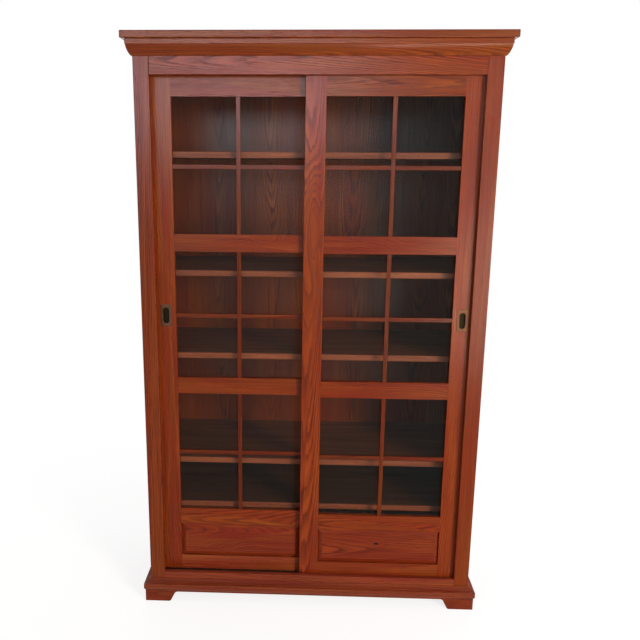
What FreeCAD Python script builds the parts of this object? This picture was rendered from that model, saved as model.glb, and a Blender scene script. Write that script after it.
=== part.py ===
import FreeCAD, Part
import math
import os
from FreeCAD import Vector

# A tall stained oak bookcase with a crown, a face frame, a moulded base on bracket feet
# and two framed glass doors that slide past each other on rollers.
# Sizes are in millimetres. X runs to the right, Y from the front to the back, Z up.
# The pieces are laid out with y = 0 on the front of the face frame and the floor at z = 0.
# Each piece is moved back to the centre of the whole footprint as it is written.

# Carcass
case_width = 1219.2
case_depth = 508.0
case_foot_z = 41.0
case_top_z = 2052.0
board = 19.0
back_thick = 6.0
back_rabbet = 10.0
dado_depth = 6.0

# Face frame
face_thick = 19.0
face_stile = 54.0
face_tenon = 15.0
face_edge_round = 1.5
face_top_rail_height = 109.0
sill_above_deck = 16.0

# Top board and crown moulding, as steps out from the case and heights below the board
top_thick = 24.0
top_overhang = 33.0
top_edge_round = 3.0
crown_height = 51.0
crown_reach = 20.0
crown_band = 16.0
crown_quirk = 1.5
crown_foot_step = 4.0
crown_belly = 3.0

# Base boards with a cut-out between the bracket feet
base_thick = 19.0
base_board_height = 70.0
foot_width = 96.0
foot_slant = 21.0
foot_corner_round = 14.0
foot_toe_round = 10.0

# Cap moulding round the top of the base boards
cap_top_z = 89.0
cap_bottom_z = 48.0
cap_reach = 24.0
cap_nose_height = 25.0
cap_nose_round = 7.0
cap_top_lip = 2.0
cap_shoulder = 2.5

# Glue blocks inside the feet
block_width = 48.0
block_depth = 64.0

# Fixed and loose shelves. The shares give the height of a shelf's top face between deck and ceiling.
deck_top_z = 98.0
ceiling_above_opening = 19.0
shelf_thick = 22.0
shelf_front_y = 76.0
shelf_edge_round = 2.0
shelf_above_door_rail = 18.5
middle_shelf_share = 0.47
loose_shelf_shares = (0.2484, 0.6346, 0.8578)
loose_shelf_end_gap = 1.6
loose_shelf_back_gap = 2.0

# Shelf pins and the rows of holes that they sit in
pin_pitch = 32.0
pin_radius = 3.15
pin_hole_radius = 3.2
pin_hole_depth = 11.0
pin_in_hole = 10.0
pin_tab_reach = 9.0
pin_tab_width = 12.0
pin_tab_thick = 3.0
pin_front_inset = 50.0
pin_back_inset = 60.0
pin_rows_below = 3
pin_row_end_gap = 150.0

# Doors. Each closed door reaches a little behind its face stile and overlaps the other door.
door_thick = 20.0
door_above_deck = 7.0
door_above_opening = 4.5
door_behind_stile = 8.9
door_overlap_spare = 1.0
door_stile = 70.0
door_top_rail = 70.0
door_mid_rail = 61.5
door_bottom_rail = 57.0
door_edge_round = 1.0
panel_opening = 136.0
sections = 3
door_tenon = 20.0
door_tenon_thick = 7.0
door_tenon_shoulder = 11.0
front_door_y = 22.0
door_gap = 5.0

# Glazing
glass_thick = 3.0
glass_set_back = 9.0
glass_rabbet = 8.0
glass_edge_gap = 1.0
muntin_width = 15.0
muntin_set_back = 2.0

# Raised panel
panel_groove = 8.0
panel_tongue = 5.5
panel_tongue_set_back = 9.0
panel_bevel = 16.0
panel_field_set_back = 1.0
panel_step = 0.8

# Flush pulls
pull_width = 40.0
pull_height = 80.0
pull_plate = 2.0
pull_proud = 1.5
pull_corner = 2.0
pull_cup_width = 24.0
pull_cup_height = 60.0
pull_cup_depth = 11.0
pull_wall = 1.2
pull_round_share = 0.495

# Rollers in the door bottoms and the ridged track below them
roller_inset = 110.0
wheel_roll_radius = 9.0
wheel_rim_radius = 12.0
wheel_width = 8.0
wheel_groove = 4.0
wheel_bore_radius = 2.05
wheel_track_gap = 0.3
axle_radius = 2.0
axle_hole_radius = 2.02
axle_length = 13.6
housing_length = 48.0
housing_width = 14.0
housing_height = 26.0
housing_cavity_length = 28.0
housing_cavity_width = 9.2
housing_roof = 2.0
track_base = 2.0
track_ridge = 4.0
track_ridge_width = 3.0
track_edge = 8.0

# Guide pins in the door tops and the grooved track above them
guide_radius = 3.0
guide_in_door = 16.0
guide_above_door = 9.0
guide_groove = 8.0
top_track_height = 10.0
top_track_roof = 3.0

# Stop strips behind the face frame that the closed doors meet
stop_gap = 0.5
stop_back_gap = 1.0

# One overrun for every cut, and how near two places must be to count as one
over = 1.0
same_place = 0.001

# Places worked out from the sizes above
half_case = case_width / 2
inner_half = half_case - board
opening_half = half_case - face_stile
back_front_y = case_depth - back_thick
top_z = case_top_z + top_thick
opening_bottom_z = deck_top_z + sill_above_deck
opening_top_z = case_top_z - face_top_rail_height
ceiling_bottom_z = opening_top_z + ceiling_above_opening
inside_height = ceiling_bottom_z - deck_top_z
roller_ridge_z = deck_top_z + track_base + track_ridge
wheel_centre_z = roller_ridge_z + wheel_track_gap + wheel_roll_radius
rear_door_y = front_door_y + door_thick + door_gap
door_overlap = door_stile + door_overlap_spare
door_outer_x = opening_half + door_behind_stile
door_width = door_outer_x + door_overlap / 2
door_centre_x = door_outer_x - door_width / 2
stop_x = door_outer_x + stop_gap
door_bottom_z = deck_top_z + door_above_deck
door_top_z = opening_top_z + door_above_opening
panel_bottom_z = door_bottom_z + door_bottom_rail
panel_top_z = panel_bottom_z + panel_opening
first_section_z = panel_top_z + door_mid_rail
section_pitch = (door_top_z - door_top_rail + door_mid_rail - first_section_z) / sections
section_height = section_pitch - door_mid_rail
section_starts = [first_section_z + section_pitch * k for k in range(sections)]
lower_shelf_top_z = first_section_z + shelf_above_door_rail
middle_shelf_top_z = deck_top_z + middle_shelf_share * inside_height
pull_centre_z = section_starts[1] + section_height / 2
track_front_y = front_door_y + door_thick / 2 - track_edge
track_back_y = rear_door_y + door_thick / 2 + track_edge
to_centre = Vector(0, (top_overhang - case_depth) / 2, 0)


# Plain shapes

def box(x0, x1, y0, y1, z0, z1):
    return Part.makeBox(x1 - x0, y1 - y0, z1 - z0, Vector(x0, y0, z0))


def prism(points, along):
    wire = Part.makePolygon(points + [points[0]])
    return Part.Face(wire).extrude(along)


def round_edges(shape, radius, chosen):
    edges = [e for e in shape.Edges if chosen(e)]
    return shape.makeFillet(radius, edges)


def runs_along(edge, axis):
    ends = [v.Point for v in edge.Vertexes]
    step = ends[-1] - ends[0]
    return step.Length > same_place and abs(abs(step.dot(axis)) - step.Length) < same_place


def at_z(edge, z):
    return all(abs(v.Z - z) < same_place for v in edge.Vertexes)


def at_y(edge, y):
    return all(abs(v.Y - y) < same_place for v in edge.Vertexes)


def mirrored(shape):
    return shape.mirror(Vector(0, 0, 0), Vector(1, 0, 0))


def group(shapes):
    return Part.makeCompound(shapes)


# Carcass

def shelf_blank(half_length, front, back, top, thick):
    return box(-half_length, half_length, front, back, top - thick, top)


def deck():
    return shelf_blank(inner_half + dado_depth, face_thick, back_front_y, deck_top_z, board)


def ceiling():
    top = ceiling_bottom_z + board
    return shelf_blank(inner_half + dado_depth, face_thick, back_front_y, top, board)


def fixed_shelf(top):
    blank = shelf_blank(inner_half + dado_depth, shelf_front_y, back_front_y, top, shelf_thick)
    front = lambda e: runs_along(e, Vector(1, 0, 0)) and at_y(e, shelf_front_y)
    return round_edges(blank, shelf_edge_round, front)


def loose_shelf(top):
    length = inner_half - loose_shelf_end_gap
    back = back_front_y - loose_shelf_back_gap
    blank = shelf_blank(length, shelf_front_y, back, top, shelf_thick)
    front = lambda e: runs_along(e, Vector(1, 0, 0)) and at_y(e, shelf_front_y)
    return round_edges(blank, shelf_edge_round, front)


def loose_shelf_tops():
    low, upper, highest = [deck_top_z + share * inside_height for share in loose_shelf_shares]
    holes_apart = round((highest - upper) / pin_pitch)
    return [low, upper, upper + holes_apart * pin_pitch]


def pin_columns():
    return [shelf_front_y + pin_front_inset, back_front_y - pin_back_inset]


def pin_z(shelf_top):
    return shelf_top - shelf_thick - pin_radius


def hole_row(shelf_top, limit):
    start = pin_z(shelf_top)
    above = int((limit - pin_row_end_gap - start) / pin_pitch)
    return [start + k * pin_pitch for k in range(-pin_rows_below, above + 1)]


def hole_heights():
    low, upper, highest = loose_shelf_tops()
    return hole_row(low, middle_shelf_top_z - shelf_thick) + hole_row(upper, ceiling_bottom_z)


def side_panel():
    panel = box(inner_half, half_case, face_thick, case_depth, case_foot_z, case_top_z)
    rabbet = box(inner_half - over, inner_half + back_rabbet, back_front_y, case_depth + over,
                 case_foot_z - over, case_top_z + over)
    panel = panel.cut([rabbet, deck(), ceiling(), fixed_shelf(lower_shelf_top_z),
                       fixed_shelf(middle_shelf_top_z)])
    holes = [Part.makeCylinder(pin_hole_radius, pin_hole_depth + over, Vector(inner_half - over, y, z),
                               Vector(1, 0, 0)) for y in pin_columns() for z in hole_heights()]
    return panel.cut(holes)


def back_panel():
    half = inner_half + back_rabbet
    return box(-half, half, back_front_y, case_depth, deck_top_z - board, case_top_z)


def shelf_pin(y, z):
    shank = Part.makeCylinder(pin_radius, pin_in_hole + pin_tab_reach,
                              Vector(inner_half - pin_tab_reach, y, z), Vector(1, 0, 0))
    tab = box(inner_half - pin_tab_reach, inner_half, y - pin_tab_width / 2, y + pin_tab_width / 2,
              z + pin_radius - pin_tab_thick, z + pin_radius)
    return shank.fuse(tab).removeSplitter()


def shelf_pins():
    pins = [shelf_pin(y, pin_z(top)) for top in loose_shelf_tops() for y in pin_columns()]
    return group(pins + [mirrored(p) for p in pins])


# Face frame

def face_tenon_box(z0, z1):
    third = face_thick / 3
    reach = opening_half + face_tenon
    return box(-reach, reach, third, 2 * third, z0 + third, z1 - third)


def face_rail(z0, z1):
    rail = box(-opening_half, opening_half, 0, face_thick, z0, z1)
    return rail.fuse(face_tenon_box(z0, z1)).removeSplitter()


def face_stile_right():
    stile = box(opening_half, half_case, 0, face_thick, case_foot_z, case_top_z)
    corner = lambda e: runs_along(e, Vector(0, 0, 1)) and at_y(e, 0)
    stile = round_edges(stile, face_edge_round, corner)
    mortises = [face_tenon_box(opening_top_z, case_top_z), face_tenon_box(case_foot_z, opening_bottom_z)]
    return stile.cut(mortises)


# Mouldings that run along the front and back along both sides, mitred at the front corners

def mitre_front(reach, z0, z1):
    points = [Vector(-half_case, 0, z0), Vector(half_case, 0, z0),
              Vector(half_case + reach, -reach, z0), Vector(-half_case - reach, -reach, z0)]
    return prism(points, Vector(0, 0, z1 - z0))


def mitre_side(reach, z0, z1):
    points = [Vector(half_case, 0, z0), Vector(half_case + reach, -reach, z0),
              Vector(half_case + reach, case_depth, z0), Vector(half_case, case_depth, z0)]
    return prism(points, Vector(0, 0, z1 - z0))


def moulding_front(section, reach, z0, z1):
    bar = section(lambda out, z: Vector(-half_case - reach, -out, z))
    bar = bar.extrude(Vector(2 * (half_case + reach), 0, 0))
    return bar.common(mitre_front(reach, z0, z1))


def moulding_side(section, reach, z0, z1):
    bar = section(lambda out, z: Vector(half_case + out, -reach, z))
    bar = bar.extrude(Vector(0, case_depth + reach, 0))
    return bar.common(mitre_side(reach, z0, z1))


def moulding_sides(section, reach, z0, z1):
    side = moulding_side(section, reach, z0, z1)
    return group([side, mirrored(side)])


def crown_section(place):
    foot = case_top_z - crown_height
    high = case_top_z - crown_band
    run = crown_reach - crown_quirk - crown_foot_step
    rise = high - foot
    bulge = crown_belly / math.hypot(run, rise)
    middle = place(crown_foot_step + run / 2 + bulge * rise, foot + rise / 2 - bulge * run)
    top_in = crown_foot_step + run
    edges = [Part.LineSegment(place(0, foot), place(crown_foot_step, foot)).toShape(),
             Part.Arc(place(crown_foot_step, foot), middle, place(top_in, high)).toShape(),
             Part.LineSegment(place(top_in, high), place(crown_reach, high)).toShape(),
             Part.LineSegment(place(crown_reach, high), place(crown_reach, case_top_z)).toShape(),
             Part.LineSegment(place(crown_reach, case_top_z), place(0, case_top_z)).toShape(),
             Part.LineSegment(place(0, case_top_z), place(0, foot)).toShape()]
    return Part.Face(Part.Wire(edges))


def cap_section(place):
    nose_top = cap_bottom_z + cap_nose_height
    nose_in = cap_reach - cap_shoulder
    middle = place(cap_top_lip + (nose_in - cap_top_lip) / 4, (nose_top + 3 * cap_top_z) / 4 - cap_top_lip)
    slope = math.sqrt(0.5)
    nose = place(cap_reach - cap_nose_round * (1 - slope), cap_bottom_z + cap_nose_round * (1 - slope))
    edges = [Part.LineSegment(place(0, base_board_height), place(base_thick, base_board_height)).toShape(),
             Part.LineSegment(place(base_thick, base_board_height), place(base_thick, cap_bottom_z)).toShape(),
             Part.LineSegment(place(base_thick, cap_bottom_z),
                              place(cap_reach - cap_nose_round / 2, cap_bottom_z)).toShape(),
             Part.Arc(place(cap_reach - cap_nose_round / 2, cap_bottom_z), nose,
                      place(cap_reach, cap_bottom_z + cap_nose_round)).toShape(),
             Part.LineSegment(place(cap_reach, cap_bottom_z + cap_nose_round),
                              place(cap_reach, nose_top)).toShape(),
             Part.LineSegment(place(cap_reach, nose_top), place(nose_in, nose_top)).toShape(),
             Part.Arc(place(nose_in, nose_top), middle, place(cap_top_lip, cap_top_z)).toShape(),
             Part.LineSegment(place(cap_top_lip, cap_top_z), place(0, cap_top_z)).toShape(),
             Part.LineSegment(place(0, cap_top_z), place(0, base_board_height)).toShape()]
    return Part.Face(Part.Wire(edges))


def base_section(place):
    points = [place(0, 0), place(base_thick, 0), place(base_thick, base_board_height),
              place(0, base_board_height)]
    return Part.Face(Part.makePolygon(points + [points[0]]))


def top_board():
    half = half_case + top_overhang
    blank = box(-half, half, -top_overhang, case_depth, case_top_z, top_z)
    outside = lambda e: not runs_along(e, Vector(0, 0, 1)) and not at_y(e, case_depth)
    return round_edges(blank, top_edge_round, outside)


# Base boards: the cut-out leaves a foot with a slanted inner edge at each end

def foot_cut(start, end, place, along):
    points = [place(start, -over), place(start, 0), place(start + foot_slant, case_foot_z),
              place(end - foot_slant, case_foot_z), place(end, 0), place(end, -over)]
    tool = prism(points, along)
    return round_edges(tool, foot_corner_round, lambda e: runs_along(e, along / along.Length)
                       and at_z(e, case_foot_z))


def base_front():
    outer = half_case + base_thick
    cut = foot_cut(-outer + foot_width, outer - foot_width,
                   lambda u, z: Vector(u, -base_thick - over, z), Vector(0, base_thick + 2 * over, 0))
    board_blank = moulding_front(base_section, base_thick, 0, base_board_height)
    toe = lambda e: runs_along(e, Vector(0, 1, 0)) and at_z(e, 0) and abs(e.Vertexes[0].X) < outer - over
    return round_edges(board_blank.cut(cut), foot_toe_round, toe)


def base_side():
    cut = foot_cut(-base_thick + foot_width, case_depth - foot_width + base_thick,
                   lambda u, z: Vector(half_case - over, u, z), Vector(base_thick + 2 * over, 0, 0))
    board_blank = moulding_side(base_section, base_thick, 0, base_board_height)
    toe = lambda e: (runs_along(e, Vector(1, 0, 0)) and at_z(e, 0)
                     and 0 < e.Vertexes[0].Y < case_depth - over)
    return round_edges(board_blank.cut(cut), foot_toe_round, toe)


def foot_blocks():
    front = box(half_case - block_width, half_case, 0, block_depth, 0, case_foot_z)
    back = box(half_case - block_width, half_case, case_depth - block_depth, case_depth, 0, case_foot_z)
    return group([front, back, mirrored(front), mirrored(back)])


# Tracks and stop strips

def bottom_track():
    length = stop_x
    base = box(-length, length, track_front_y, track_back_y, deck_top_z, deck_top_z + track_base)
    for door_y in (front_door_y, rear_door_y):
        middle = door_y + door_thick / 2
        base = base.fuse(box(-length, length, middle - track_ridge_width / 2, middle + track_ridge_width / 2,
                             deck_top_z + track_base, roller_ridge_z))
    return base.removeSplitter()


def top_track():
    length = stop_x
    low = ceiling_bottom_z - top_track_height
    bar = box(-length, length, track_front_y, track_back_y, low, ceiling_bottom_z)
    grooves = []
    for door_y in (front_door_y, rear_door_y):
        middle = door_y + door_thick / 2
        grooves.append(box(-length - over, length + over, middle - guide_groove / 2,
                           middle + guide_groove / 2, low - over, ceiling_bottom_z - top_track_roof))
    return bar.cut(grooves)


def door_stops():
    strip = box(stop_x, inner_half, face_thick, shelf_front_y - stop_back_gap, deck_top_z, ceiling_bottom_z)
    return group([strip, mirrored(strip)])


# Doors. A door is described by its centre, the y of its front face and the side of its pull.

class Door:
    def __init__(self, name, side, front):
        self.name = name
        self.side = side
        self.front = front
        self.middle_y = front + door_thick / 2
        self.centre = side * door_centre_x
        self.half = door_width / 2
        self.clear = self.half - door_stile

    def across(self, u0, u1, y0, y1, z0, z1):
        low, high = sorted((self.centre + self.side * u0, self.centre + self.side * u1))
        return box(low, high, self.front + y0, self.front + y1, z0, z1)

    def section_box(self, z0, grow, y0, y1):
        return self.across(-self.clear - grow, self.clear + grow, y0, y1, z0 - grow,
                           z0 + section_height + grow)

    def rabbets(self):
        return [self.section_box(z, glass_rabbet, glass_set_back, door_thick + over) for z in section_starts]

    def panel_slot(self):
        return self.across(-self.clear - panel_groove, self.clear + panel_groove, panel_tongue_set_back,
                           panel_tongue_set_back + panel_tongue, panel_bottom_z - panel_groove,
                           panel_top_z + panel_groove)

    def rail_places(self):
        mids = [z - door_mid_rail for z in section_starts[1:]]
        return {"bottom": (door_bottom_z, door_bottom_rail), "lower": (panel_top_z, door_mid_rail),
                "mids": (mids, door_mid_rail), "top": (door_top_z - door_top_rail, door_top_rail)}

    def tenon(self, z, height):
        tenon_y = (door_thick - door_tenon_thick) / 2
        reach = self.clear + door_tenon
        return self.across(-reach, reach, tenon_y, tenon_y + door_tenon_thick, z + door_tenon_shoulder,
                           z + height - door_tenon_shoulder)

    def all_tenons(self):
        places = self.rail_places()
        heights = [places["bottom"], places["lower"], places["top"]]
        heights += [(z, places["mids"][1]) for z in places["mids"][0]]
        return [self.tenon(z, height) for z, height in heights]

    def rail(self, z, height):
        bar = self.across(-self.clear, self.clear, 0, door_thick, z, z + height)
        return bar.cut(self.rabbets() + [self.panel_slot()]).fuse(self.tenon(z, height)).removeSplitter()

    def stile(self, sign):
        bar = self.across(sign * self.clear, sign * self.half, 0, door_thick, door_bottom_z, door_top_z)
        bar = round_edges(bar, door_edge_round, lambda e: runs_along(e, Vector(0, 0, 1))
                          and abs(e.Vertexes[0].X - self.centre) > self.clear + over)
        return bar.cut(self.rabbets() + [self.panel_slot()] + self.all_tenons())

    def outer_stile(self):
        return self.stile(1).cut(self.pull_pocket())

    def pull_pocket(self):
        plate = self.pull_block(pull_width, pull_height, 0, pull_plate - pull_proud, pull_corner)
        cup = self.pull_block(pull_cup_width, pull_cup_height, 0, pull_cup_depth - pull_proud, pull_cup_width / 2)
        return plate.fuse(cup)

    def pull_block(self, width, height, y0, y1, corner):
        u = self.half - door_stile / 2
        block = self.across(u - width / 2, u + width / 2, y0, y1, pull_centre_z - height / 2,
                            pull_centre_z + height / 2)
        return round_edges(block, min(corner, width * pull_round_share), lambda e: runs_along(e, Vector(0, 1, 0)))

    def flush_pull(self):
        plate = self.pull_block(pull_width, pull_height, -pull_proud, pull_plate - pull_proud, pull_corner)
        cup = self.pull_block(pull_cup_width, pull_cup_height, -pull_proud, pull_cup_depth - pull_proud,
                              pull_cup_width / 2)
        hollow = self.pull_block(pull_cup_width - 2 * pull_wall, pull_cup_height - 2 * pull_wall,
                                 -pull_proud - over, pull_cup_depth - pull_proud - pull_wall,
                                 pull_cup_width / 2 - pull_wall)
        rim = [e for e in plate.Edges if at_y(e, self.front - pull_proud)]
        plate = plate.makeFillet(pull_plate / 4, rim)
        return plate.fuse(cup).removeSplitter().cut(hollow)

    def bottom_rail(self):
        return self.rail(*self.rail_places()["bottom"]).cut([self.housing_block(u) for u in self.roller_places()])

    def top_rail(self):
        holes = [self.guide_pin(u, 0) for u in self.roller_places()]
        return self.rail(*self.rail_places()["top"]).cut(holes)

    def mid_rails(self):
        mids, height = self.rail_places()["mids"]
        return group([self.rail(z, height) for z in mids])

    def lower_rail(self):
        return self.rail(*self.rail_places()["lower"])

    def raised_panel(self):
        tongue = self.panel_slot()
        y = self.front + panel_tongue_set_back
        lip = self.rectangle(self.clear, panel_bottom_z, panel_top_z, y)
        field = self.rectangle(self.clear - panel_bevel, panel_bottom_z + panel_bevel,
                               panel_top_z - panel_bevel, self.front + panel_field_set_back + panel_step)
        face = self.rectangle(self.clear - panel_bevel, panel_bottom_z + panel_bevel,
                              panel_top_z - panel_bevel, self.front + panel_field_set_back)
        slope = Part.makeLoft([lip, field], True, True)
        table = Part.makeLoft([field, face], True, True)
        return tongue.fuse([slope, table]).removeSplitter()

    def rectangle(self, half, z0, z1, y):
        points = [Vector(self.centre - half, y, z0), Vector(self.centre + half, y, z0),
                  Vector(self.centre + half, y, z1), Vector(self.centre - half, y, z1)]
        return Part.makePolygon(points + [points[0]])

    def glass(self):
        grow = glass_rabbet - glass_edge_gap
        return group([self.section_box(z, grow, glass_set_back, glass_set_back + glass_thick)
                      for z in section_starts])

    def crossing(self, z0, y0, y1):
        half = muntin_width / 2
        middle = z0 + section_height / 2
        return self.across(-half, half, y0, y1, middle - half, middle + half)

    def muntin_verticals(self):
        half = muntin_width / 2
        middle_y = (muntin_set_back + glass_set_back) / 2
        bars = []
        for z in section_starts:
            bar = self.across(-half, half, muntin_set_back, glass_set_back, z, z + section_height)
            bars.append(bar.cut(self.crossing(z, middle_y, glass_set_back)))
        return group(bars)

    def muntin_horizontals(self):
        half = muntin_width / 2
        middle_y = (muntin_set_back + glass_set_back) / 2
        bars = []
        for z in section_starts:
            middle = z + section_height / 2
            bar = self.across(-self.clear, self.clear, muntin_set_back, glass_set_back, middle - half,
                              middle + half)
            bars.append(bar.cut(self.crossing(z, muntin_set_back, middle_y)))
        return group(bars)

    def glass_stops(self):
        y0 = glass_set_back + glass_thick
        strips = []
        for z in section_starts:
            top = z + section_height
            for sign in (-1, 1):
                strips.append(self.across(sign * self.clear, sign * (self.clear + glass_rabbet), y0,
                                          door_thick, z - glass_rabbet, top + glass_rabbet))
            strips.append(self.across(-self.clear, self.clear, y0, door_thick, z - glass_rabbet, z))
            strips.append(self.across(-self.clear, self.clear, y0, door_thick, top, top + glass_rabbet))
        return group(strips)

    def roller_places(self):
        return [self.half - roller_inset, roller_inset - self.half]

    def housing_block(self, u):
        y0 = (door_thick - housing_width) / 2
        return self.across(u - housing_length / 2, u + housing_length / 2, y0, y0 + housing_width,
                           door_bottom_z, door_bottom_z + housing_height)

    def pin_along_y(self, u, radius, length):
        start = Vector(self.centre + self.side * u, self.middle_y - length / 2, wheel_centre_z)
        return Part.makeCylinder(radius, length, start, Vector(0, 1, 0))

    def roller_housings(self):
        housings = []
        for u in self.roller_places():
            y0 = (door_thick - housing_cavity_width) / 2
            cavity = self.across(u - housing_cavity_length / 2, u + housing_cavity_length / 2, y0,
                                 y0 + housing_cavity_width, door_bottom_z - over,
                                 door_bottom_z + housing_height - housing_roof)
            bore = self.pin_along_y(u, axle_hole_radius, housing_width + 2 * over)
            housings.append(self.housing_block(u).cut([cavity, bore]))
        return group(housings)

    def roller_axles(self):
        return group([self.pin_along_y(u, axle_radius, axle_length) for u in self.roller_places()])

    def wheel(self, u):
        rim = self.pin_along_y(u, wheel_rim_radius, wheel_width)
        core = self.pin_along_y(u, wheel_roll_radius, wheel_groove)
        ring = self.pin_along_y(u, wheel_rim_radius + over, wheel_groove).cut(core)
        bore = self.pin_along_y(u, wheel_bore_radius, wheel_width + 2 * over)
        return rim.cut([ring, bore])

    def guide_pin(self, u, above):
        start = Vector(self.centre + self.side * u, self.middle_y, door_top_z - guide_in_door)
        return Part.makeCylinder(guide_radius, guide_in_door + above, start, Vector(0, 0, 1))

    def top_guides(self):
        return group([self.guide_pin(u, guide_above_door) for u in self.roller_places()])

    def nodes(self):
        outer, inner = self.roller_places()
        made = {"outer_stile": self.outer_stile(), "inner_stile": self.stile(-1), "top_rail": self.top_rail(),
                "mid_rails": self.mid_rails(), "lower_rail": self.lower_rail(),
                "bottom_rail": self.bottom_rail(), "raised_panel": self.raised_panel(),
                "glass_panes": self.glass(), "muntin_verticals": self.muntin_verticals(),
                "muntin_horizontals": self.muntin_horizontals(), "glass_stops": self.glass_stops(),
                "flush_pull": self.flush_pull(), "roller_housings": self.roller_housings(),
                "roller_axles": self.roller_axles(), "top_guides": self.top_guides(),
                "outer_wheel": self.wheel(outer), "inner_wheel": self.wheel(inner)}
        return {self.name + "_" + key: shape for key, shape in made.items()}


def case_nodes():
    side, stile = side_panel(), face_stile_right()
    crown = (crown_section, crown_reach, case_top_z - crown_height, case_top_z)
    cap = (cap_section, cap_reach, cap_bottom_z, cap_top_z)
    base = base_side()
    nodes = {"side_panel_left": mirrored(side), "side_panel_right": side, "ceiling_panel": ceiling(),
             "bottom_deck": deck(), "back_panel": back_panel(),
             "lower_fixed_shelf": fixed_shelf(lower_shelf_top_z),
             "middle_fixed_shelf": fixed_shelf(middle_shelf_top_z), "shelf_pins": shelf_pins(),
             "face_stile_left": mirrored(stile), "face_stile_right": stile,
             "face_top_rail": face_rail(opening_top_z, case_top_z),
             "face_bottom_rail": face_rail(case_foot_z, opening_bottom_z), "top_board": top_board(),
             "crown_moulding_front": moulding_front(*crown), "crown_moulding_sides": moulding_sides(*crown),
             "base_board_front": base_front(), "base_board_sides": group([base, mirrored(base)]),
             "base_cap_front": moulding_front(*cap), "base_cap_sides": moulding_sides(*cap),
             "foot_blocks": foot_blocks(), "bottom_track": bottom_track(), "top_track": top_track(),
             "door_stops": door_stops()}
    for name, top in zip(("low", "upper", "highest"), loose_shelf_tops()):
        nodes["loose_shelf_" + name] = loose_shelf(top)
    return nodes


def write(nodes):
    os.makedirs("parts", exist_ok=True)
    for name, shape in nodes.items():
        placed = shape.copy()
        placed.translate(to_centre)
        bad = [s for s in placed.Solids if not s.isValid()]
        print(name, len(placed.Solids), "solids", "invalid" if bad else "valid", round(placed.Volume))
        placed.exportStep("parts/" + name + ".step")


all_nodes = case_nodes()
all_nodes.update(Door("left_door", -1, rear_door_y).nodes())
all_nodes.update(Door("right_door", 1, front_door_y).nodes())
write(all_nodes)
print("nodes", len(all_nodes), "door travel", 2 * door_centre_x, "height", top_z)
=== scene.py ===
import math
import random
from collections import namedtuple

import bpy
from mathutils import Matrix, Vector


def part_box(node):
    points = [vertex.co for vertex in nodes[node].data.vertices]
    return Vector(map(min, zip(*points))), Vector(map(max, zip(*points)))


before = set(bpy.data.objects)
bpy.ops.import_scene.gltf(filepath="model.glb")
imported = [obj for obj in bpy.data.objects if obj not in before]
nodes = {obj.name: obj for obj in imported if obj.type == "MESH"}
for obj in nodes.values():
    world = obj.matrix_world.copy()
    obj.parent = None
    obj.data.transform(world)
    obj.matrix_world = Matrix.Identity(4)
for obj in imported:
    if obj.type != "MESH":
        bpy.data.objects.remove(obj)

scene = bpy.context.scene
scene.view_settings.view_transform = "Standard"
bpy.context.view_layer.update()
dice = random.Random(41)


# Node helpers
def new_material(name):
    material = bpy.data.materials.new(name)
    material.use_nodes = True
    tree = material.node_tree
    return material, tree, tree.nodes["Principled BSDF"]


def add(tree, kind, inputs, **settings):
    """A new node. An input is a number, a colour, a vector or another node's output."""
    node = tree.nodes.new(kind)
    for key, value in settings.items():
        setattr(node, key, value)
    for key, value in inputs.items():
        if isinstance(value, bpy.types.NodeSocket):
            tree.links.new(value, node.inputs[key])
        else:
            node.inputs[key].default_value = value
    return node


def math_node(tree, operation, a, b=0.0, clamp=False):
    node = add(tree, "ShaderNodeMath", {0: a, 1: b}, operation=operation, use_clamp=clamp)
    return node.outputs[0]


def vector_node(tree, operation, a, b=(0.0, 0.0, 0.0)):
    node = add(tree, "ShaderNodeVectorMath", {0: a, 1: b}, operation=operation)
    return node.outputs["Value" if operation == "LENGTH" else "Vector"]


def weighted(tree, first, *others):
    """The sum of each value times its weight."""
    total = math_node(tree, "MULTIPLY", *first)
    for value, weight in others:
        total = math_node(tree, "ADD", total, math_node(tree, "MULTIPLY", value, weight))
    return total


def remap(tree, value, low, high, to_low=0.0, to_high=1.0, curve="LINEAR"):
    node = add(tree, "ShaderNodeMapRange", {"Value": value, "From Min": low, "From Max": high,
                                            "To Min": to_low, "To Max": to_high},
               interpolation_type=curve)
    return node.outputs["Result"]


def blend_colour(tree, share, first, second):
    """The first colour where the share is 0, and the second where it is 1."""
    ends = [end if isinstance(end, bpy.types.NodeSocket) else (*end, 1.0) for end in (first, second)]
    node = add(tree, "ShaderNodeMix", {0: share, 6: ends[0], 7: ends[1]}, data_type="RGBA")
    return node.outputs[2]


def noise(tree, place, scales, detail=2.0, roughness=0.5, distortion=0.0, output="Fac"):
    stretched = vector_node(tree, "MULTIPLY", place, scales)
    node = add(tree, "ShaderNodeTexNoise", {"Vector": stretched, "Scale": 1.0, "Detail": detail,
                                            "Roughness": roughness, "Distortion": distortion})
    return node.outputs[output]


def pattern(tree, place, low, high, **how):
    """Noise whose values from low to high are spread over 0 to 1."""
    return remap(tree, noise(tree, place, **how), low, high)


def object_place(tree):
    return add(tree, "ShaderNodeTexCoord", {}).outputs["Object"]


def separate(tree, place):
    return add(tree, "ShaderNodeSeparateXYZ", {0: place}).outputs


def add_relief(tree, shader, height, strength, depth):
    """Bump from a height of 0 to 1. The depth is in metres."""
    bump = add(tree, "ShaderNodeBump", {"Height": height, "Strength": strength, "Distance": depth})
    tree.links.new(bump.outputs["Normal"], shader.inputs["Normal"])


def random_shift():
    return (dice.uniform(-5, 5), dice.uniform(-5, 5), dice.uniform(-5, 5))


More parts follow.
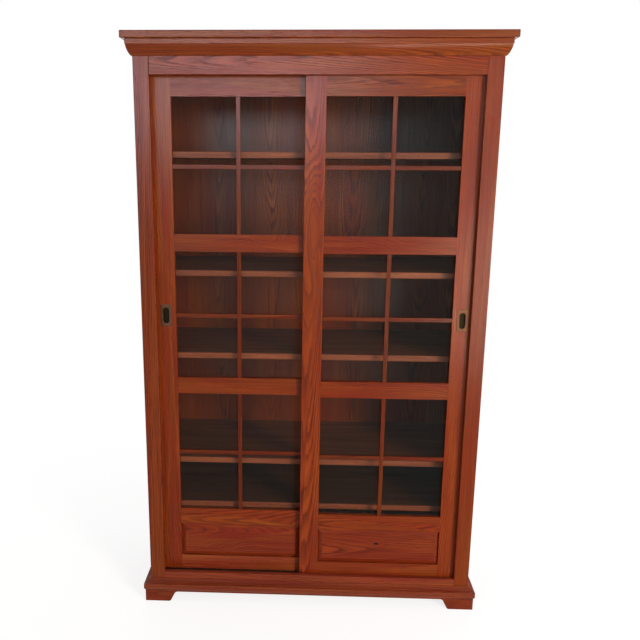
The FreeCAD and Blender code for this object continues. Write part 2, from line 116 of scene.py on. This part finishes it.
# Solid wood. The grain runs along the board's own axis, and each board is cut from a log of its own.
TURN_TO_GRAIN = {"x": (0.0, -math.pi / 2, 0.0), "y": (math.pi / 2, 0.0, 0.0), "z": (0.0, 0.0, 0.0)}
STAIN = {"light": (0.320, 0.037, 0.0064), "warm": (0.385, 0.077, 0.0086), "dark": (0.090, 0.0085, 0.0020)}
POPLAR = {"light": (0.55, 0.42, 0.22), "warm": (0.58, 0.44, 0.24), "dark": (0.38, 0.27, 0.13)}

# Repeats of each pattern per metre, twice across the grain and once along it. Low and high are the
# values of the noise that become 0 and 1.
WANDER_SCALES = (5.0, 5.0, 0.8)
UNEVEN_SCALES = (110.0, 110.0, 12.0)
PORES = {"scales": (1000.0, 1000.0, 55.0), "detail": 1.0, "low": 0.54, "high": 0.68}
STREAKS = {"scales": (120.0, 120.0, 3.2), "detail": 3.0, "roughness": 0.6, "low": 0.34, "high": 0.66}
PATCHES = {"scales": (9.0, 9.0, 2.2), "detail": 3.0, "low": 0.3, "high": 0.7}
HUES = {"scales": (16.0, 16.0, 1.6), "low": 0.36, "high": 0.64}
BANDS_PER_METRE = 72.0
BAND_DETAIL = 1.5
BAND_RANGE = (0.36, 0.64)

# In metres: the width of a ring, how far the log wanders at a figure of 1, how far a single line
# strays, and how far apart the solids of one node can be in the log
RING_WIDTH = 0.0046
WANDER = 0.16
UNEVENNESS = 0.0035
SOLIDS_APART = (3.1, 4.7, 9.3)

# The early wood of a year is dark and porous. It fades out by the first share of the year, and that of
# the next year sets in at the second. The late wood keeps this share of the pores.
EARLY_END = 0.55
LATE_END = 0.9
LATE_PORES = 0.15

# What darkens the wood, and the range of the sum, which is spread about its middle by the contrast
EARLY_WEIGHT, BAND_WEIGHT, STREAK_WEIGHT, PATCH_WEIGHT = 0.46, 0.32, 0.28, 0.20
DEPTH_RANGE = (0.10, 1.00)
MIDDLE_DEPTH = 0.45

# The pores' colour as a share of the dark grain's, and how much of the wood under them they cover
PORE_SHADE = 0.25
PORE_COVER = 0.6

# The lacquer is duller over patches and pores. Its relief follows the pores and the early wood.
DULL_PATCHES = 0.5
DULL_RANGE = (0.0, 1.5)
LACQUER_ROUGHNESS = (0.22, 0.39)
LACQUER_SPECULAR = 0.12
EARLY_SINK = 0.25
WOOD_RELIEF = (0.3, 0.0004)

# A knot's dark core, in shares of its bulge: full up to the first distance and gone at the second
KNOT_CORE = (0.16, 0.30)


def toned(stain_and_painted_light, share):
    shares = share if isinstance(share, tuple) else (share, share, share)
    return {key: tuple(a * b for a, b in zip(shares, colour)) for key, colour in stain_and_painted_light.items()}


def swelling(tree, here, place, size, height):
    """A bulge of the log under the face: the saw cuts it into closed rings. Also gives the distance."""
    offset = vector_node(tree, "SUBTRACT", here, place)
    offset = vector_node(tree, "MULTIPLY", offset, tuple(1.0 / length for length in size))
    away = vector_node(tree, "LENGTH", offset)
    return remap(tree, away, 0.0, 1.0, height, 0.0, "SMOOTHSTEP"), away


def log_place(tree, here, box, widest):
    """Where a point lies in its log: across, through and along. A wide panel is glued up from planks,
    and a board narrower than the widest plank is a single one, with a little room at its edges."""
    edge_room = 1.02
    heart_shift = 0.3
    apart_along = 9.0
    low, high = box
    thin, wide, long = sorted(range(3), key=lambda k: high[k] - low[k])
    width = min(widest, edge_room * (high[wide] - low[wide]))
    middle = tuple((low[k] + high[k]) / 2 for k in range(3))
    parts = separate(tree, vector_node(tree, "SUBTRACT", here, middle))
    turn = math_node(tree, "ROUND", math_node(tree, "DIVIDE", parts[wide], width))
    number = math_node(tree, "ADD", turn, dice.uniform(0.0, 50.0))
    chance = add(tree, "ShaderNodeTexWhiteNoise", {"W": number}, noise_dimensions="1D").outputs["Value"]
    across = math_node(tree, "SUBTRACT", parts[wide], math_node(tree, "MULTIPLY", turn, width))
    shift = remap(tree, chance, 0.0, 1.0, -heart_shift * width, heart_shift * width)
    across = math_node(tree, "ADD", across, shift)
    along = math_node(tree, "ADD", parts[long], math_node(tree, "MULTIPLY", chance, apart_along))
    return add(tree, "ShaderNodeCombineXYZ", {"X": across, "Y": parts[thin], "Z": along}).outputs[0]


def solid_wood(name, stain_and_painted_light, pith, figure, contrast, taper, axis="z", planked=None, eyes=(), knots=()):
    """Rings round a pith near the board. Figure is how far the log wanders, and taper how much the
    rings grow per metre. Planked is the board's box and its widest plank, in place of an axis."""
    material, tree, shader = new_material(name)
    here = object_place(tree)
    if planked:
        turned = log_place(tree, here, *planked)
    else:
        turned = add(tree, "ShaderNodeMapping", {"Vector": here, "Rotation": TURN_TO_GRAIN[axis]},
                     vector_type="POINT").outputs[0]
    chance = add(tree, "ShaderNodeNewGeometry", {}).outputs["Random Per Island"]
    own = vector_node(tree, "ADD", turned, random_shift())
    own = vector_node(tree, "ADD", own, vector_node(tree, "MULTIPLY", chance, SOLIDS_APART))

    # The slow wander of the log makes the arches, and a quick one makes each line uneven
    slow = noise(tree, own, WANDER_SCALES, detail=1.0, output="Color")
    bend = vector_node(tree, "SUBTRACT", slow, (0.5, 0.5, 0.5))
    bend = vector_node(tree, "MULTIPLY", bend, (WANDER * figure, WANDER * figure, 0.0))
    from_pith = vector_node(tree, "ADD", vector_node(tree, "ADD", turned, bend), (*pith, 0.0))
    radius = vector_node(tree, "LENGTH", vector_node(tree, "MULTIPLY", from_pith, (1.0, 1.0, 0.0)))
    uneven = math_node(tree, "MULTIPLY", noise(tree, own, UNEVEN_SCALES), UNEVENNESS)
    radius = math_node(tree, "ADD", radius, uneven)
    growth = math_node(tree, "MULTIPLY", separate(tree, turned)["Z"], taper)
    radius = math_node(tree, "ADD", radius, growth)
    for bulge in eyes:
        radius = math_node(tree, "ADD", radius, swelling(tree, here, *bulge)[0])
    core = 0.0
    for bulge in knots:
        rise, away = swelling(tree, here, *bulge)
        radius = math_node(tree, "ADD", radius, rise)
        core = math_node(tree, "ADD", remap(tree, away, *KNOT_CORE, 1.0, 0.0), core, clamp=True)

    year = math_node(tree, "FRACT", math_node(tree, "DIVIDE", radius, RING_WIDTH))
    early = add(tree, "ShaderNodeValToRGB", {"Fac": year})
    ramp = early.color_ramp.elements
    ramp[0].color = (1, 1, 1, 1)
    ramp[1].position = EARLY_END
    ramp[1].color = (0, 0, 0, 1)
    ramp.new(LATE_END).color = (0, 0, 0, 1)
    ramp.new(1.0).color = (1, 1, 1, 1)
    early = early.outputs["Color"]

    # Good and lean years follow each other, so that bands stand out from far away
    years = math_node(tree, "MULTIPLY", radius, BANDS_PER_METRE)
    band = add(tree, "ShaderNodeTexNoise", {"W": years, "Detail": BAND_DETAIL}, noise_dimensions="1D")
    band = remap(tree, band.outputs["Fac"], *BAND_RANGE)

    pores = math_node(tree, "ADD", early, LATE_PORES)
    pores = math_node(tree, "MULTIPLY", pattern(tree, own, **PORES), pores, clamp=True)
    patches = pattern(tree, own, **PATCHES)
    depth = weighted(tree, (early, EARLY_WEIGHT), (band, BAND_WEIGHT),
                     (pattern(tree, own, **STREAKS), STREAK_WEIGHT), (patches, PATCH_WEIGHT))
    depth = remap(tree, depth, *DEPTH_RANGE, MIDDLE_DEPTH * (1.0 - contrast),
                  MIDDLE_DEPTH + (1.0 - MIDDLE_DEPTH) * contrast)
    pale = blend_colour(tree, pattern(tree, own, **HUES), stain_and_painted_light["light"], stain_and_painted_light["warm"])
    base = blend_colour(tree, depth, pale, stain_and_painted_light["dark"])
    pore_colour = [channel * PORE_SHADE for channel in stain_and_painted_light["dark"]]
    colour = blend_colour(tree, math_node(tree, "MULTIPLY", pores, PORE_COVER), base, pore_colour)
    if knots:
        colour = blend_colour(tree, core, colour, pore_colour)
    tree.links.new(colour, shader.inputs["Base Color"])

    dull = math_node(tree, "ADD", math_node(tree, "MULTIPLY", patches, DULL_PATCHES), pores)
    tree.links.new(remap(tree, dull, *DULL_RANGE, *LACQUER_ROUGHNESS), shader.inputs["Roughness"])
    shader.inputs["Specular IOR Level"].default_value = LACQUER_SPECULAR
    height = math_node(tree, "SUBTRACT", 1.0, pores)
    height = math_node(tree, "SUBTRACT", height, math_node(tree, "MULTIPLY", early, EARLY_SINK))
    add_relief(tree, shader, height, *WOOD_RELIEF)
    return material


# Plywood shelves. Their grain runs along x, so the first scale of each pattern is the one along it.
PLY_STREAKS = {"scales": (3.0, 120.0, 120.0), "detail": 3.0, "roughness": 0.6, "low": 0.32, "high": 0.68}
PLY_ARCHES = {"scales": (1.5, 22.0, 22.0), "detail": 3.0, "distortion": 1.2, "low": 0.36, "high": 0.64}
PLY_PORES = {"scales": (50.0, 900.0, 900.0), "detail": 1.0, "low": 0.56, "high": 0.70}
PLY_PORE_COVER = 0.5
PLY_PORE_COLOUR = (0.020, 0.005, 0.002)
PLY_ROUGHNESS = (0.36, 0.50)
PLY_RELIEF = (0.25, 0.0003)
# The veneer is darker than the solid front strip, partly its own colour and partly painted shade on the
# shelves' tops
VENEER_AND_SHADE = {"light": (0.200, 0.056, 0.022), "dark": (0.100, 0.024, 0.009)}
FRONT_STRIP = {"light": (0.340, 0.078, 0.025), "dark": (0.175, 0.030, 0.0085)}
STRIP_DEPTH = 0.006
STRIP_JOINT = 0.0004


def shelf_board(name, front, painted_shade_share):
    """Stained plywood behind a strip of solid oak, whose front face is at y = front. The plywood is darker
    than the strip, partly its own colour and partly painted shade on the shelves' tops, and a painted
    shade share below one darkens it further.
    """
    veneer_and_shade = toned(VENEER_AND_SHADE, painted_shade_share)
    material, tree, shader = new_material(name)
    here = object_place(tree)
    own = vector_node(tree, "ADD", here, random_shift())
    streaks = pattern(tree, own, **PLY_STREAKS)
    pores = pattern(tree, own, **PLY_PORES)
    depth = weighted(tree, (streaks, 0.5), (pattern(tree, own, **PLY_ARCHES), 0.5))
    ply = blend_colour(tree, depth, veneer_and_shade["light"], veneer_and_shade["dark"])
    solid = blend_colour(tree, depth, FRONT_STRIP["light"], FRONT_STRIP["dark"])
    joint = front + STRIP_DEPTH
    behind = remap(tree, separate(tree, here)["Y"], joint, joint + STRIP_JOINT)
    colour = blend_colour(tree, behind, solid, ply)
    cover = math_node(tree, "MULTIPLY", pores, PLY_PORE_COVER)
    colour = blend_colour(tree, cover, colour, PLY_PORE_COLOUR)
    tree.links.new(colour, shader.inputs["Base Color"])
    tree.links.new(remap(tree, streaks, 0.0, 1.0, *PLY_ROUGHNESS), shader.inputs["Roughness"])
    shader.inputs["Specular IOR Level"].default_value = LACQUER_SPECULAR
    add_relief(tree, shader, math_node(tree, "SUBTRACT", 1.0, pores), *PLY_RELIEF)
    return material


# Glass, metal and plastic
GLASS_WAVES = (3.0, 3.0, 1.4)
GLASS_RELIEF = (0.05, 0.002)
METAL_RELIEF = (0.15, 0.0002)
METAL_ROUGHNESS_SPREAD = 0.18
FINE_WEAR = (0.4, 0.7)
BROAD_WEAR = (0.35, 0.65)
PLASTIC_GRAIN = (1500.0, 1500.0, 1500.0)
PLASTIC_CLOUDS = (90.0, 90.0, 90.0)
PLASTIC_RELIEF = (0.2, 0.0001)
PLASTIC_ROUGHNESS_SPREAD = 0.12


def clear_glass(name):
    """Faintly wavy glass. Its index is far below that of real glass, so that it mirrors little of the
    white studio. In the photograph, the panes mirror a dim room."""
    material, tree, shader = new_material(name)
    waves = noise(tree, object_place(tree), GLASS_WAVES, detail=1.0)
    add_relief(tree, shader, waves, *GLASS_RELIEF)
    shader.inputs["Roughness"].default_value = 0.0
    shader.inputs["Base Color"].default_value = (0.80, 0.90, 0.89, 1)
    shader.inputs["Transmission Weight"].default_value = 0.994
    shader.inputs["IOR"].default_value = 1.04
    return material


def worn_metal(tree, shader, colour, worn, roughness, metallic, grain, blotch):
    """Metal of one colour, worn to another in spots. Grain and blotch are repeats per metre."""
    here = object_place(tree)
    fine = noise(tree, here, grain, detail=3.0, roughness=0.6)
    broad = noise(tree, here, (blotch, blotch, blotch), detail=3.0, roughness=0.6)
    wear = math_node(tree, "MULTIPLY", remap(tree, fine, *FINE_WEAR), remap(tree, broad, *BROAD_WEAR))
    dull = remap(tree, broad, 0.3, 0.7, roughness, roughness + METAL_ROUGHNESS_SPREAD)
    tree.links.new(dull, shader.inputs["Roughness"])
    shader.inputs["Metallic"].default_value = metallic
    add_relief(tree, shader, fine, *METAL_RELIEF)
    return blend_colour(tree, wear, colour, worn)


def metal(name, colour, worn, roughness, metallic=1.0, grain=(400.0, 400.0, 400.0)):
    material, tree, shader = new_material(name)
    surface = worn_metal(tree, shader, colour, worn, roughness, metallic, grain, blotch=60.0)
    tree.links.new(surface, shader.inputs["Base Color"])
    return material


def aged_pull(name, face):
    """Bronze with a dark patina. It is near black in its hollow, which lies behind y = face: partly patina
    and partly painted shade in the recess.
    """
    bronze, worn_bronze, cup_patina_and_shade = (0.060, 0.026, 0.014), (0.132, 0.064, 0.037), (0.010, 0.007, 0.003)
    cup_starts, cup_is_dark = face + 0.0010, face + 0.0045
    material, tree, shader = new_material(name)
    plate = worn_metal(tree, shader, bronze, worn_bronze, roughness=0.36, metallic=0.97,
                       grain=(500.0, 500.0, 500.0), blotch=70.0)
    # Near black from just behind the plate's face into the hollow: patina and painted shade
    patina_and_shade_share = remap(tree, separate(tree, object_place(tree))["Y"], cup_starts, cup_is_dark)
    tree.links.new(blend_colour(tree, patina_and_shade_share, plate, cup_patina_and_shade), shader.inputs["Base Color"])
    return material


def moulded(name, colour, second, roughness):
    """Plastic with faint clouds of a second colour and a fine moulded grain."""
    material, tree, shader = new_material(name)
    here = object_place(tree)
    grain = noise(tree, here, PLASTIC_GRAIN)
    clouds = noise(tree, here, PLASTIC_CLOUDS)
    dull = remap(tree, grain, 0.3, 0.7, roughness, roughness + PLASTIC_ROUGHNESS_SPREAD)
    tree.links.new(blend_colour(tree, clouds, colour, second), shader.inputs["Base Color"])
    tree.links.new(dull, shader.inputs["Roughness"])
    add_relief(tree, shader, grain, *PLASTIC_RELIEF)
    return material


# How each board's stain is scaled, where it differs from the rest: one share, or one each of red, green
# and blue. Besides the stain's own differences, the shares paint light. The low shares of the muntins,
# glass stops, back panel and lower fixed shelf are painted shade. A raised blue share paints a sheen on
# the top board, crown, left face stile, left door's rails and outer stile, right door's top rail, raised
# panels and base. Lowered green and blue take back part of the lamps' sheen on the right face stile and
# the right door's stiles and mid rails. In this table and the next, a board takes the first row whose
# word its name holds.
TONES_AND_PAINTED_LIGHT = {"muntin": 0.62,
         "glass_stops": 0.70,
         "back_panel": 0.75,
         "lower_fixed_shelf": 0.50,
         "top_board": (0.90, 1.08, 1.12),
         "crown_moulding": (0.97, 1.12, 1.25),
         "face_stile_left": (0.88, 0.85, 1.10),
         "face_stile_right": (0.94, 0.92, 0.90),
         "face_bottom_rail": (1.08, 1.12, 2.8),
         "base_board": (0.90, 0.90, 1.4),
         "base_cap": (0.94, 1.06, 2.5),
         "left_door_outer_stile": (1.06, 1.12, 1.12),
         "right_door_outer_stile": (1.08, 0.98, 0.85),
         "right_door_inner_stile": (0.98, 0.88, 0.95),
         "left_door_top_rail": (0.90, 0.94, 1.0),
         "right_door_top_rail": (0.92, 1.08, 1.25),
         "left_door_mid_rails": (0.92, 0.94, 0.97),
         "right_door_mid_rails": (0.90, 0.76, 0.62),
         "left_door_lower_rail": (1.04, 1.18, 1.14),
         "left_door_bottom_rail": (1.20, 1.35, 2.8),
         "left_door_raised_panel": (0.96, 0.84, 1.40),
         "right_door_raised_panel": (0.93, 0.78, 1.30)}

# How the single boards and the panels are cut. The pith of a flat cut lies behind the middle of the
# board, and that of a rift cut off to one side.
Cut = namedtuple("Cut", "widest pith figure contrast")
FLAT = (0.0, 0.07)
RIFT = (0.075, 0.045)
CUTS = {"side_panel": Cut(0.135, FLAT, 0.50, 0.75),
        "top_board": Cut(0.138, FLAT, 0.50, 0.75),
        "back_panel": Cut(0.21, FLAT, 0.60, 1.00),
        "face_stile_left": Cut(0.2, RIFT, 0.55, 1.00),
        "face_stile_right": Cut(0.2, RIFT, 0.55, 0.70),
        "left_door_outer_stile": Cut(0.2, RIFT, 0.55, 0.90),
        "right_door_outer_stile": Cut(0.2, RIFT, 0.55, 0.70),
        "inner_stile": Cut(0.2, FLAT, 0.28, 0.76),
        "face_top_rail": Cut(0.2, FLAT, 0.55, 0.90),
        "left_door_top_rail": Cut(0.2, RIFT, 0.50, 0.85),
        "right_door_top_rail": Cut(0.2, FLAT, 0.50, 0.80),
        "lower_rail": Cut(0.2, FLAT, 0.45, 0.65),
        "bottom_rail": Cut(0.2, RIFT, 0.60, 0.85),
        "raised_panel": Cut(0.2, FLAT, 0.50, 0.70),
        "board_front": Cut(0.2, RIFT, 0.50, 0.85),
        "cap_front": Cut(0.2, RIFT, 0.50, 0.80),
        "moulding_front": Cut(0.2, RIFT, 0.45, 0.65)}

# The other boards share a node with more of their kind, and so do all glue blocks
OTHER_FIGURE, OTHER_CONTRAST = 1.0, 0.95
TAPERS = (-0.035, 0.035)
BLOCK_PITH, BLOCK_FIGURE, BLOCK_CONTRAST, BLOCK_TAPER = (0.05, 0.085), 0.6, 1.0, 0.03

# Closed rings and knots that single boards show: the bulge's place, size and height
EYES = {"left_door_mid_rails": [((-0.163, -0.190, 1.384), (0.11, 0.20, 0.050), 0.024)],
        "right_door_inner_stile": [((-0.002, -0.215, 1.470), (0.040, 0.20, 0.27), 0.022)],
        "left_door_inner_stile": [((0.000, -0.190, 0.700), (0.034, 0.20, 0.30), 0.018)],
        "right_door_mid_rails": [((0.330, -0.215, 1.375), (0.16, 0.20, 0.040), 0.022)],
        "left_door_raised_panel": [((-0.230, -0.190, 0.222), (0.20, 0.20, 0.050), 0.022)]}
KNOTS = {"right_door_raised_panel": [((0.257, -0.214, 0.243), (0.040, 0.20, 0.017), 0.020)]}

SHELVES = ("bottom_deck", "lower_fixed_shelf", "loose_shelf_low", "middle_fixed_shelf",
           "loose_shelf_upper", "loose_shelf_highest", "ceiling_panel")
NOT_STAINED = ("track", "pins", "blocks", "panes", "pull", "housings", "axles", "guides", "wheel",
               "door_stops")
SHARP_EDGED = ("panel", "deck", "left", "right")
EDGE_RADIUS = 0.0008
EDGE_ANGLE = math.radians(40)
JOINED_BELOW = 0.00001


def first_match(table, name, default=None):
    return next((value for word, value in table.items() if word in name), default)


def dress(name, material):
    for slot in nodes[name].material_slots:
        slot.material = material


def front_of(name):
    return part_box(name)[0][1]


def oak_board(name):
    drawn_pith = (dice.uniform(-0.05, 0.05), dice.uniform(0.05, 0.10))
    taper = dice.choice(TAPERS)
    # The board's stain times its row of shares, with the painted shade and sheen that this row holds
    stain_and_painted_light = toned(STAIN, first_match(TONES_AND_PAINTED_LIGHT, name, 1.0))
    marks = {"eyes": EYES.get(name, ()), "knots": KNOTS.get(name, ())}
    cut = first_match(CUTS, name)
    if cut:
        return solid_wood("oak_" + name, stain_and_painted_light, cut.pith, cut.figure, cut.contrast, taper,
                          planked=(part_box(name), cut.widest), **marks)
    axis = "z" if name.endswith("muntin_verticals") else "y" if name.endswith("_sides") else "x"
    return solid_wood("oak_" + name, stain_and_painted_light, drawn_pith, OTHER_FIGURE, OTHER_CONTRAST, taper, axis, **marks)


def join_faces(name):
    weld = nodes[name].modifiers.new("join_faces", "WELD")
    weld.merge_threshold = JOINED_BELOW


def soften(name):
    bevel = nodes[name].modifiers.new("soft_edges", "BEVEL")
    bevel.width = EDGE_RADIUS
    bevel.segments = 2
    bevel.limit_method = "ANGLE"
    bevel.angle_limit = EDGE_ANGLE
    bevel.harden_normals = True


for name in nodes:
    if name.endswith(NOT_STAINED):
        continue
    if name in SHELVES:
        # The lower fixed shelf's share below one is painted shade
        dress(name, shelf_board("plywood_" + name, front_of(name), first_match(TONES_AND_PAINTED_LIGHT, name, 1.0)))
    else:
        dress(name, oak_board(name))
    join_faces(name)
    if not name.endswith(SHARP_EDGED):
        soften(name)

zinc = metal("zinc_steel", (0.55, 0.56, 0.57), (0.72, 0.73, 0.72), 0.35)
nickel = metal("nickel_steel", (0.60, 0.57, 0.52), (0.75, 0.72, 0.66), 0.25)
# The bottom track's dark brown is partly its anodized colour and partly painted shade for the gap under
# the doors, where it shows
track_metal_and_shade = metal("aluminium_track", (0.10, 0.050, 0.030), (0.22, 0.14, 0.10), 0.36, 0.8,
                  grain=(20.0, 900.0, 900.0))
nylon = moulded("white_nylon", (0.80, 0.79, 0.75), (0.72, 0.71, 0.66), 0.42)
brown_plastic = moulded("brown_plastic", (0.070, 0.035, 0.022), (0.11, 0.055, 0.033), 0.45)
FINISH = {"roller_housings": zinc, "roller_axles": zinc, "wheel": nylon, "top_guides": nylon,
          "shelf_pins": nickel, "bottom_track": track_metal_and_shade, "top_track": brown_plastic,
          "door_stops": brown_plastic, "glass_panes": clear_glass("clear_glass")}
for name in nodes:
    for ending, material in FINISH.items():
        if name.endswith(ending):
            dress(name, material)
    if name.endswith("flush_pull"):
        dress(name, aged_pull("aged_bronze_" + name, front_of(name)))

    # Light passes through the panes into the case, and only the view and the reflections see them
    if name.endswith("glass_panes"):
        nodes[name].visible_shadow = False
        nodes[name].visible_diffuse = False
dress("foot_blocks", solid_wood("poplar", POPLAR, BLOCK_PITH, BLOCK_FIGURE, BLOCK_CONTRAST, BLOCK_TAPER))

# Camera, as fitted to the photograph: the first lengths in pixels of the square picture, the angles in
# degrees, the place in metres and the sensor's width in millimetres
PICTURE = 640
FOCAL_LENGTH = 723.759
CENTRE_X, CENTRE_Y = 276.485, 331.791
YAW, PITCH, ROLL = -2.328, 12.853, 0.323
CAMERA_PLACE = (-0.0253, -2.7464, 1.64696)
SENSOR = 36.0

camera_data = bpy.data.cameras.new("camera")
camera_data.sensor_width = SENSOR
camera_data.sensor_fit = "HORIZONTAL"
camera_data.lens = FOCAL_LENGTH / PICTURE * SENSOR
camera_data.shift_x = (PICTURE / 2 - CENTRE_X) / PICTURE
camera_data.shift_y = (CENTRE_Y - PICTURE / 2) / PICTURE
camera = bpy.data.objects.new("camera", camera_data)
yaw, pitch, roll = (math.radians(angle) for angle in (YAW, PITCH, ROLL))
forward = Vector((math.sin(yaw) * math.cos(pitch), math.cos(yaw) * math.cos(pitch), -math.sin(pitch)))
across = Vector((math.cos(yaw), -math.sin(yaw), 0.0))
upward = across.cross(forward)
right_hand = across * math.cos(roll) + upward * math.sin(roll)
head_up = upward * math.cos(roll) - across * math.sin(roll)
rotation = Matrix((right_hand, head_up, -forward)).transposed().to_4x4()
camera.matrix_world = Matrix.Translation(CAMERA_PLACE) @ rotation
scene.collection.objects.link(camera)
scene.camera = camera

# World and floor: plain light on the object, and white for the view, the reflections and the glass
STUDIO_LIGHT = 0.38
WHITE = (1, 1, 1, 1)
FLOOR_COLOUR = (0.85, 0.85, 0.85, 1)
FLOOR_SHADOW = (0.35, 0.35, 0.35, 1)
FLOOR_GLOW = 0.8
FLOOR_REACH = 12.0
FADE_START, FADE_END = 0.9, 2.0


def is_seen(tree):
    path = add(tree, "ShaderNodeLightPath", {}).outputs
    seen = math_node(tree, "MAXIMUM", path["Is Camera Ray"], path["Is Glossy Ray"])
    return math_node(tree, "MAXIMUM", seen, path["Is Transmission Ray"])


def mix_shaders(tree, share, first, second):
    return add(tree, "ShaderNodeMixShader", {0: share, 1: first, 2: second}).outputs[0]


world = bpy.data.worlds.new("studio")
scene.world = world
world.use_nodes = True
tree = world.node_tree
tree.nodes.clear()
plain = add(tree, "ShaderNodeBackground", {"Color": WHITE, "Strength": STUDIO_LIGHT}).outputs[0]
white = add(tree, "ShaderNodeBackground", {"Color": WHITE, "Strength": 1.0}).outputs[0]
add(tree, "ShaderNodeOutputWorld", {"Surface": mix_shaders(tree, is_seen(tree), plain, white)})

floor_mesh = bpy.data.meshes.new("floor")
corners = [(x * FLOOR_REACH, y * FLOOR_REACH, 0) for x, y in ((-1, -1), (1, -1), (1, 1), (-1, 1))]
floor_mesh.from_pydata(corners, [], [(0, 1, 2, 3)])
floor = bpy.data.objects.new("floor", floor_mesh)
scene.collection.objects.link(floor)

# Near the object the floor shows its shadow, and further out it fades into the white round it
material, tree, shader = new_material("pale_floor")
shader.inputs["Base Color"].default_value = FLOOR_COLOUR
shader.inputs["Roughness"].default_value = 0.9
shader.inputs["Specular IOR Level"].default_value = 0.0
soft = add(tree, "ShaderNodeBsdfDiffuse", {"Color": FLOOR_SHADOW}).outputs[0]
glow = add(tree, "ShaderNodeEmission", {"Color": WHITE, "Strength": FLOOR_GLOW}).outputs[0]
near = add(tree, "ShaderNodeAddShader", {0: soft, 1: glow}).outputs[0]
far = add(tree, "ShaderNodeEmission", {"Color": WHITE, "Strength": 1.0}).outputs[0]
away = vector_node(tree, "LENGTH", object_place(tree))
seen = mix_shaders(tree, remap(tree, away, FADE_START, FADE_END), near, far)
surface = mix_shaders(tree, is_seen(tree), shader.outputs[0], seen)
tree.links.new(surface, tree.nodes["Material Output"].inputs["Surface"])
floor_mesh.materials.append(material)


def lamp(name, place, target, size, power, colour=(1.0, 1.0, 1.0)):
    data = bpy.data.lights.new(name, "AREA")
    data.shape = "RECTANGLE"
    data.size, data.size_y = size
    data.energy = power
    data.color = colour
    light = bpy.data.objects.new(name, data)
    light.location = place
    light.rotation_euler = (Vector(target) - Vector(place)).to_track_quat("-Z", "Y").to_euler()
    light.visible_camera = False
    scene.collection.objects.link(light)
    return light


lamp("window_right", place=(3.1, -4.4, 1.9), target=(0, 0, 1.1), size=(1.3, 1.7), power=200,
     colour=(1.0, 0.95, 0.88))
lamp("back", place=(0, 3.6, 2.4), target=(0, 0, 1.0), size=(5.0, 1.6), power=45)
sky = lamp("sky_front", place=(-1.05, -5.0, 2.40), target=(-0.3, 0, 1.8), size=(3.4, 1.0), power=190,
           colour=(0.80, 0.90, 1.0))
low = lamp("low_right", place=(1.40, -3.2, 0.75), target=(0, 0, 1.0), size=(0.5, 1.1), power=41,
           colour=(1.0, 0.88, 0.74))

# The last two only give the lacquer its sheen, at the top and on the right. They would mirror as hard
# white shapes in the panes and in the bevels of the panels, so they leave these out.
sheen_takers = bpy.data.collections.new("takes_sheen")
for name in nodes:
    if not name.endswith(("glass_panes", "raised_panel")):
        sheen_takers.objects.link(nodes[name])
for light in (sky, low):
    light.visible_diffuse = False
    light.light_linking.receiver_collection = sheen_takers
